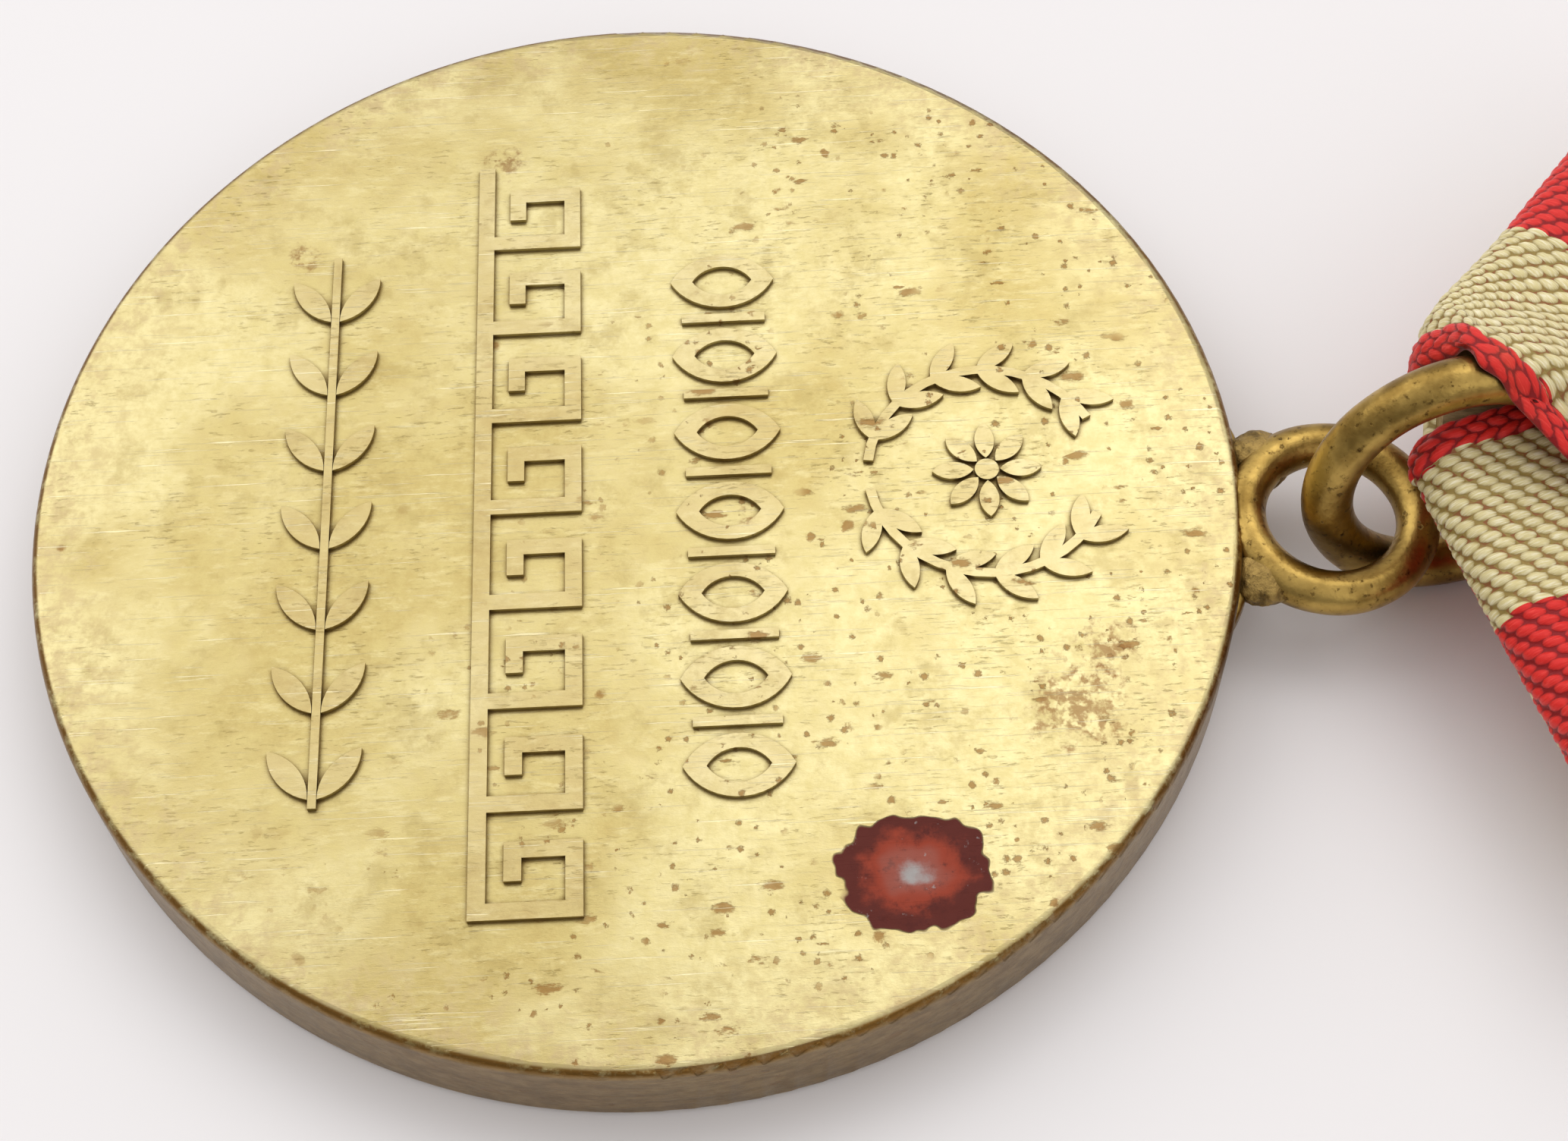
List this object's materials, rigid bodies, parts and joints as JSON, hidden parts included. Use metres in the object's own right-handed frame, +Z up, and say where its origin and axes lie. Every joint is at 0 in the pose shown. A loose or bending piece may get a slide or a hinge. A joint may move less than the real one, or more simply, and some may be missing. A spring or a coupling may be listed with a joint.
{
  "type": "service medal",
  "caption": "Round struck brass medal with a wire eye and connecting ring, hung from a ribbon-wrapped five-sided mount with a brooch pin on its back.",
  "frame": {"origin": "centre of the disc's front face, which lies on the table", "axes": "+Z up out of the disc's back face, +X from the disc's centre towards the eye, ring and mount, +Y to the left of that"},
  "size_m": [0.084, 0.0363, 0.008],
  "materials": {
    "struck_brass": "satin, struck and lightly tarnished",
    "worn_brass": "drawn wire, darkened and rubbed",
    "solder": "dull, pitted",
    "sheet_brass": "satin",
    "card": "matt",
    "ribbon": "woven silk rep, soft sheen",
    "thread": "matt",
    "nickelled_steel": "satin, worn plating",
    "spring_wire": "drawn, satin"
  },
  "bodies": {
    "medal": {"medal_disc": "struck_brass", "suspension_eye": "worn_brass", "eye_saddle": "worn_brass", "eye_solder": "solder"},
    "ring": {"connecting_ring": "worn_brass"},
    "mount": {"base_plate": "sheet_brass", "stiffening_card": "card", "front_ribbon": "ribbon", "right_wrap": "ribbon", "left_wrap": "ribbon", "stitching": "thread", "back_plate": "nickelled_steel", "plate_rivets": "sheet_brass", "pin_stud": "nickelled_steel", "pin_catch": "nickelled_steel"},
    "pin": {"pin_needle": "spring_wire"}
  },
  "joints": [
    {"name": "ring_swing", "type": "hinge", "parent": "medal", "child": "ring", "pos_m": [0.02056, -0.00166, 0.00235], "axis": [-0.1192, 0.9709, -0.2079], "range_deg": [-12, 138]},
    {"name": "mount_swing", "type": "hinge", "parent": "ring", "child": "mount", "pos_m": [0.02118, -0.00103, 0.0049], "axis": [-0.1192, 0.9709, -0.2079], "range_deg": [-115, 8]},
    {"name": "pin_swing", "type": "hinge", "parent": "mount", "child": "pin", "pos_m": [0.05719, -0.01526, 0.00398], "axis": [0.0856, -0.0166, 0.9962], "range_deg": [0, 80]}
  ]
}
